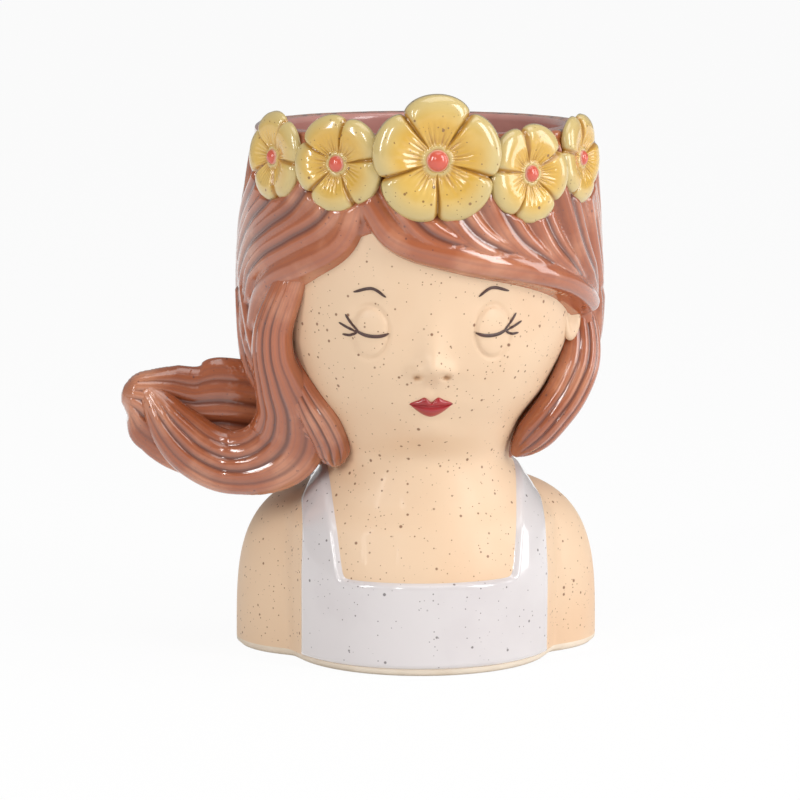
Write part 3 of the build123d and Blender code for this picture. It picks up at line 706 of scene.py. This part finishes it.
def lip_shape(u, v):
    """Both lips as one closed cushion, with a bow above and a crease between them."""
    across = LIP_HALF * np.sin(np.pi * (u - 0.5))
    share = across / LIP_HALF
    edge = np.sqrt(np.clip(1 - share**2, 0, 1))
    notch = 1.2 * np.exp(-((across / 1.3) ** 2))
    peaks = 0.7 * np.exp(-(((np.abs(across) - 2.4) / 1.4) ** 2))
    upper = edge**1.6 * (2.7 - notch + peaks)
    lower = 3.7 * np.clip(1 - np.abs(share) ** 1.7, 0, 1) ** 1.15
    wrap = 2 * np.pi * v
    tall = np.sin(wrap)
    height = LIP_LEVEL + 0.7 * share**2 + np.where(tall > 0, upper, lower) * tall
    crease = np.exp(-((tall / 0.22) ** 2))
    cushion = 1.7 * np.sqrt(np.clip(1 - tall**2, 0, 1)) - 1.1 * crease
    lift = np.where(np.cos(wrap) > 0, cushion, -0.8) * edge
    return on_face(across, height, lift), {}


lips = wrapped_grid("lips_painted", 48, 64, lip_shape)

# %% [markdown]
# One ear shows. It is a flattened sphere, a little wider at the top, with its bowl pressed in.

# %% Ear
EAR_TURN, EAR_HEIGHT, EAR_FACING, EAR_STAND = np.radians(71.0), 114.5, np.radians(-42.0), 0.8
EAR_THICK, EAR_WIDE, EAR_WIDER_ABOVE, EAR_TALL, BOWL_DEPTH = 2.5, 4.6, 0.8, 6.5, 0.95
ear_radius = body_radius(EAR_TURN, np.array(EAR_HEIGHT)) + EAR_STAND
bpy.ops.object.select_all(action="DESELECT")
bpy.ops.mesh.primitive_uv_sphere_add(segments=48, ring_count=32, radius=1.0, location=(0, 0, 0))
ear = bpy.context.object
ear.name = "ear_pressed"
for vertex in ear.data.vertices:
    x, y, z = vertex.co
    bowl = np.exp(-(((y + 0.1) / 0.5) ** 2) - ((z - 0.05) / 0.55) ** 2) if x > 0 else 0.0
    vertex.co = (EAR_THICK * (x - BOWL_DEPTH * bowl), (EAR_WIDE + EAR_WIDER_ABOVE * z) * y, EAR_TALL * z)
ear.rotation_euler = (0, 0, EAR_FACING)
ear.scale = (MM, MM, MM)
ear_x, ear_y = ear_radius * np.sin(EAR_TURN), -ear_radius * np.cos(EAR_TURN)
ear.location = (MM * ear_x, MM * ear_y, MM * EAR_HEIGHT)
bpy.ops.object.transform_apply(location=True, rotation=True, scale=True)
bpy.ops.object.shade_smooth()
print(ear.name, len(ear.data.polygons), "faces")

# %% [markdown]
# The glazes share two effects, so each is a node group. One scatters iron specks of the clay through
# a glaze, each a soft dot in a random cell. The other clouds a colour a little, as a brushed glaze does.

# %% Node groups for the glazes
SPECK_CELLS, FINE_CELLS = 340.0, 1.9
PATCH_SCALE, PATCH_PULL, PATCH_LEVEL = 45.0, -1.1, 0.55


def link(tree, source, target):
    tree.links.new(source, target)


def math_node(tree, operation, first, second):
    """A math node between two sockets or plain numbers."""
    node = tree.nodes.new("ShaderNodeMath")
    node.operation = operation
    for socket, value in zip(node.inputs, (first, second)):
        if isinstance(value, (int, float)):
            socket.default_value = value
        else:
            link(tree, value, socket)
    return node.outputs[0]


def new_group(name, inputs, output):
    """An empty node group with named number inputs and one output."""
    group = bpy.data.node_groups.new(name, "ShaderNodeTree")
    for word, value in inputs.items():
        socket = group.interface.new_socket(word, in_out="INPUT", socket_type="NodeSocketFloat")
        socket.default_value = value
    group.interface.new_socket(output, in_out="OUTPUT", socket_type="NodeSocketFloat")
    return group, group.nodes.new("NodeGroupInput"), group.nodes.new("NodeGroupOutput")


specks, given, result = new_group("iron_specks", {"Size": 0.2, "Rarity": 0.35}, "Mask")
place = specks.nodes.new("ShaderNodeTexCoord")
patches = specks.nodes.new("ShaderNodeTexNoise")
patches.inputs["Scale"].default_value = PATCH_SCALE
link(specks, place.outputs["Object"], patches.inputs["Vector"])
scarce = math_node(specks, "MULTIPLY_ADD", patches.outputs["Fac"], PATCH_PULL)
scarce.node.inputs[2].default_value = PATCH_LEVEL
scarce = math_node(specks, "ADD", scarce, given.outputs["Rarity"])
dots = []
for cell_count, share in ((SPECK_CELLS, 1.0), (FINE_CELLS * SPECK_CELLS, 0.85)):
    cells = specks.nodes.new("ShaderNodeTexVoronoi")
    cells.inputs["Scale"].default_value = cell_count
    link(specks, place.outputs["Object"], cells.inputs["Vector"])
    lots = specks.nodes.new("ShaderNodeSeparateColor")
    link(specks, cells.outputs["Color"], lots.inputs["Color"])
    chosen = math_node(specks, "GREATER_THAN", lots.outputs["Red"], scarce)
    spread = math_node(specks, "ADD", math_node(specks, "MULTIPLY", lots.outputs["Green"], 0.9), 0.3)
    size = math_node(specks, "MULTIPLY", given.outputs["Size"], spread)
    inside = math_node(specks, "SUBTRACT", 1.0, math_node(specks, "DIVIDE", cells.outputs["Distance"], size))
    dot = math_node(specks, "MULTIPLY", math_node(specks, "MAXIMUM", inside, 0.0), 2.5)
    dots.append(math_node(specks, "MULTIPLY", math_node(specks, "MINIMUM", dot, share), chosen))
link(specks, math_node(specks, "MAXIMUM", *dots), result.inputs["Mask"])

clouds, given, result = new_group("glaze_clouds", {"Scale": 40.0}, "Mask")
place = clouds.nodes.new("ShaderNodeTexCoord")
noise = clouds.nodes.new("ShaderNodeTexNoise")
noise.inputs["Detail"].default_value = 4.0
link(clouds, place.outputs["Object"], noise.inputs["Vector"])
link(clouds, given.outputs["Scale"], noise.inputs["Scale"])
link(clouds, noise.outputs["Fac"], result.inputs["Mask"])
print("node groups:", specks.name, "and", clouds.name)

# %% [markdown]
# A glaze starts from one colour and is then mixed towards others by masks: clouds, specks, and painted shade with
# pooled glaze in grooves and folds. Its gloss is plain and the same all over, so it is set on the shader itself.

# %% How a glaze is built
COAT_ROUGHNESS = 0.04


class Glaze:
    """A ceramic glaze whose colour is built up in layers."""

    def __init__(self, name, color, roughness, coat):
        self.material = bpy.data.materials.new(name)
        self.material.use_nodes = True
        self.tree = self.material.node_tree
        self.shader = self.tree.nodes["Principled BSDF"]
        self.shader.inputs["Base Color"].default_value = (*color, 1)
        self.shader.inputs["Roughness"].default_value = roughness
        self.shader.inputs["Coat Weight"].default_value = coat
        self.shader.inputs["Coat Roughness"].default_value = COAT_ROUGHNESS
        self.color = color

    def group(self, tree, **values):
        """The mask of a shared effect."""
        node = self.tree.nodes.new("ShaderNodeGroup")
        node.node_tree = tree
        for word, value in values.items():
            node.inputs[word].default_value = value
        return node.outputs["Mask"]

    def mark(self, word):
        """A mark that the mesh keeps for each point."""
        node = self.tree.nodes.new("ShaderNodeAttribute")
        node.attribute_name = word
        return node.outputs["Fac"]

    def span(self, value, low, high):
        """A mask from 0 at low to 1 at high."""
        node = self.tree.nodes.new("ShaderNodeMapRange")
        node.interpolation_type = "SMOOTHSTEP"
        node.inputs["From Min"].default_value = low
        node.inputs["From Max"].default_value = high
        link(self.tree, value, node.inputs["Value"])
        return node.outputs["Result"]

    def layer(self, color, mask, strength=1.0):
        """Mixes a colour over the glaze where the mask is set."""
        mix = self.tree.nodes.new("ShaderNodeMix")
        mix.data_type = "RGBA"
        if isinstance(self.color, tuple):
            mix.inputs["A"].default_value = (*self.color, 1)
        else:
            link(self.tree, self.color, mix.inputs["A"])
        mix.inputs["B"].default_value = (*color, 1)
        link(self.tree, math_node(self.tree, "MULTIPLY", mask, strength), mix.inputs["Factor"])
        self.color = mix.outputs["Result"]
        link(self.tree, self.color, self.shader.inputs["Base Color"])

    def bump(self, height, strength, distance):
        """Fine relief in the glaze."""
        node = self.tree.nodes.new("ShaderNodeBump")
        node.inputs["Strength"].default_value = strength
        node.inputs["Distance"].default_value = distance
        link(self.tree, height, node.inputs["Height"])
        link(self.tree, node.outputs["Normal"], self.shader.inputs["Normal"])


# %% Glazes of the planter
COMB_TEETH = 18.85
skin = Glaze("skin_satin_glaze", (0.76, 0.55, 0.37), 0.5, 0.06)
skin.layer((0.72, 0.46, 0.28), skin.span(skin.group(clouds, Scale=28.0), 0.45, 0.75), 0.45)
skin.layer((0.22, 0.10, 0.05), skin.group(specks, Size=0.2, Rarity=0.44), 0.9)
skin.layer((0.26, 0.13, 0.07), skin.group(specks, Size=0.13, Rarity=0.3), 0.8)

hair_glaze = Glaze("hair_gloss_glaze", (0.41, 0.115, 0.045), 0.13, 1.0)
hair_glaze.layer((0.33, 0.08, 0.022), hair_glaze.span(hair_glaze.mark("tint"), 0.3, 1.0), 0.85)
hair_glaze.layer((0.66, 0.30, 0.17), hair_glaze.span(hair_glaze.group(clouds, Scale=45.0), 0.45, 0.68), 0.6)
# Painted shade, partly pooled glaze: darker brown in the comb grooves.
hair_glaze.layer((0.12, 0.03, 0.016), hair_glaze.span(hair_glaze.mark("groove"), 0.05, 0.85), 0.85)
across_comb = math_node(hair_glaze.tree, "MULTIPLY", hair_glaze.mark("comb"), COMB_TEETH)
teeth = math_node(hair_glaze.tree, "SINE", across_comb, 0.0)
# Painted shade: a little darker in the troughs between the fine teeth of the comb.
hair_glaze.layer((0.20, 0.075, 0.06), hair_glaze.span(teeth, -0.3, -1.0), 0.2)
hair_glaze.layer((0.12, 0.045, 0.04), hair_glaze.group(specks, Size=0.18, Rarity=0.66), 0.7)
hair_glaze.bump(teeth, 0.15, 0.0003)

inner_glaze = Glaze("inside_gloss_glaze", (0.44, 0.20, 0.17), 0.25, 0.5)
inner_glaze.layer((0.56, 0.29, 0.24), inner_glaze.span(inner_glaze.group(clouds, Scale=45.0), 0.4, 0.7), 0.5)

bisque = Glaze("foot_bisque", (0.80, 0.70, 0.58), 0.85, 0.0)
bisque.layer((0.70, 0.58, 0.45), bisque.span(bisque.group(clouds, Scale=90.0), 0.4, 0.7), 0.5)

white = Glaze("sun_top_white_glaze", (0.66, 0.62, 0.62), 0.18, 0.8)
white.layer((0.54, 0.49, 0.50), white.span(white.group(clouds, Scale=30.0), 0.45, 0.75), 0.4)
white.layer((0.10, 0.08, 0.08), white.group(specks, Size=0.19, Rarity=0.62), 0.8)

yellow = Glaze("petal_yellow_glaze", (0.64, 0.37, 0.05), 0.2, 0.8)
yellow.layer((0.76, 0.54, 0.18), yellow.span(yellow.group(clouds, Scale=70.0), 0.4, 0.7), 0.55)
yellow.layer((0.58, 0.46, 0.20), yellow.mark("pale"), 0.85)
# Painted shade, partly pooled glaze: deep orange in the folds, the vein troughs, the heart and on the back.
yellow.layer((0.44, 0.21, 0.025), yellow.span(yellow.mark("deep"), 0.05, 0.75), 0.95)
yellow.layer((0.20, 0.09, 0.03), yellow.group(specks, Size=0.2, Rarity=0.62), 0.85)

coral = Glaze("bead_coral_glaze", (0.62, 0.10, 0.06), 0.2, 0.6)
coral.layer((0.82, 0.52, 0.42), coral.span(coral.mark("ring"), 0.62, 0.30), 0.8)

lip_paint = Glaze("lip_red_glaze", (0.36, 0.014, 0.018), 0.28, 0.5)
lip_paint.layer((0.22, 0.008, 0.01), lip_paint.span(lip_paint.group(clouds, Scale=120.0), 0.4, 0.7), 0.5)

brown_paint = Glaze("lash_brown_glaze", (0.06, 0.026, 0.02), 0.4, 0.1)
brown_paint.layer((0.10, 0.04, 0.03), brown_paint.span(brown_paint.group(clouds, Scale=150.0), 0.4, 0.7), 0.6)
print("last glaze:", brown_paint.material.name)

# %% [markdown]
# Each piece now gets its glaze and rides the one body of the frame. The bust has three finishes: skin
# outside, hair glaze inside the pot and over its rim, and bare fired clay under the foot.

# %% Dress the pieces
FOOT_TOP, RIM_GLAZE, INSIDE = 2.1, 2.5, 2.0
dress(bust, skin.material, "skin_glaze", "pot_shell")
bust.data.materials.append(inner_glaze.material)
bust.data.materials.append(bisque.material)
for face in bust.data.polygons:
    x, y, z = face.center / MM
    radius = np.hypot(x, y)
    reach = bust_radius(np.arctan2(x, -y), np.array(z))
    if z < FOOT_TOP:
        face.material_index = 2
    elif z > RIM - RIM_GLAZE or radius < reach - INSIDE:
        face.material_index = 1
dress(ear, skin.material, "skin_glaze", "ear")
hair_nodes = ("hair_cap", "fringe_right", "fringe_left", "back_hair", "nape_lock")
dress(hair, hair_glaze.material, "hair_glaze", *hair_nodes)
dress(side_lock, hair_glaze.material, "hair_glaze", "side_lock")
dress(flip_curl, hair_glaze.material, "hair_glaze", "flip_curl")
dress(ear_lock, hair_glaze.material, "hair_glaze")
dress(cheek_lock, hair_glaze.material, "hair_glaze")
dress(sun_top, white.material, "white_glaze", "bodice_front", "bodice_back", "strap_left", "strap_right")
for word in FLOWERS:
    dress(flowers[word], yellow.material, "yellow_glaze", "flower_" + word)
    dress(beads[word], coral.material, "coral_glaze", "bead_" + word)
dress(lips, lip_paint.material, "coral_glaze")
for each in strokes:
    dress(each, brown_paint.material, "hair_glaze")

# %% [markdown]
# The photograph shows the planter on white, with hardly a shadow. The floor is a plain white plane. To the camera
# it is mostly plain white as well, so that it runs into the background and keeps a faint shadow.

# %% Floor
FLOOR_GLOW = 0.94
bpy.ops.object.select_all(action="DESELECT")
bpy.ops.mesh.primitive_plane_add(size=20, location=(0, 0, 0))
floor = bpy.context.object
floor.name = "studio_floor"
paper = bpy.data.materials.new("white_paper")
paper.use_nodes = True
tree = paper.node_tree
tree.nodes["Principled BSDF"].inputs["Base Color"].default_value = (0.9, 0.9, 0.9, 1)
tree.nodes["Principled BSDF"].inputs["Roughness"].default_value = 0.9
glow = tree.nodes.new("ShaderNodeEmission")
mix = tree.nodes.new("ShaderNodeMixShader")
rays = tree.nodes.new("ShaderNodeLightPath")
seen = math_node(tree, "MAXIMUM", rays.outputs["Is Camera Ray"], rays.outputs["Is Glossy Ray"])
seen = math_node(tree, "MAXIMUM", seen, rays.outputs["Is Transmission Ray"])
link(tree, math_node(tree, "MULTIPLY", seen, FLOOR_GLOW), mix.inputs["Fac"])
link(tree, tree.nodes["Principled BSDF"].outputs[0], mix.inputs[1])
link(tree, glow.outputs[0], mix.inputs[2])
link(tree, mix.outputs[0], tree.nodes["Material Output"].inputs["Surface"])
floor.data.materials.append(paper)
print("floor:", floor.name)

# %% [markdown]
# The light comes mostly from the right. A narrow window and a strip on the left give the gloss its bright streaks.

# %% Light
SKY_LIGHT, SKY_SEEN = 0.32, 0.68
scene = bpy.context.scene
scene.view_settings.view_transform = "Standard"
world = bpy.data.worlds.new("white_studio")
world.use_nodes = True
scene.world = world
sky = world.node_tree
rays = sky.nodes.new("ShaderNodeLightPath")
sky.nodes["Background"].inputs["Color"].default_value = (1, 1, 1, 1)
strength = math_node(sky, "ADD", math_node(sky, "MULTIPLY", rays.outputs["Is Camera Ray"], SKY_SEEN), SKY_LIGHT)
link(sky, strength, sky.nodes["Background"].inputs["Strength"])


def softbox(name, place, aim, width, height, power):
    """A soft studio lamp that points at a place."""
    bpy.ops.object.light_add(type="AREA", location=place)
    lamp = bpy.context.object
    lamp.name = name
    lamp.data.shape = "RECTANGLE"
    lamp.data.size, lamp.data.size_y, lamp.data.energy = width, height, power
    lamp.rotation_euler = (Vector(aim) - Vector(place)).to_track_quat("-Z", "Y").to_euler()


softbox("window_right", (0.75, -0.65, 0.55), (0, 0, 0.1), 0.3, 0.8, 5.6)
softbox("window_left", (-0.75, -0.65, 0.55), (0, 0, 0.1), 0.09, 0.6, 3.4)
softbox("window_strip", (-0.38, -0.95, 0.6), (0, 0, 0.12), 0.06, 0.4, 1.6)
softbox("edge_right", (0.9, -0.1, 0.35), (0, 0, 0.1), 0.3, 0.7, 2.4)
softbox("top_soft", (0.15, -0.2, 1.1), (0, 0, 0.1), 0.8, 0.6, 3)
print(len(bpy.data.lights), "lamps")

# %% Camera
AZIMUTH, ELEVATION, DISTANCE, LENS = np.radians(-4.0), np.radians(8.2), 1.3, 172.6
aim = Vector((-0.0068, 0.0, 0.086))
flat = np.cos(ELEVATION)
back = Vector((np.sin(AZIMUTH) * flat, -np.cos(AZIMUTH) * flat, np.sin(ELEVATION)))
bpy.ops.object.camera_add(location=aim + DISTANCE * back)
camera = bpy.context.object
camera.rotation_euler = (-back).to_track_quat("-Z", "Y").to_euler()
camera.data.lens, camera.data.sensor_width = LENS, 36.0
scene.camera = camera
print("camera:", round(DISTANCE, 2), "m away, lens", LENS)
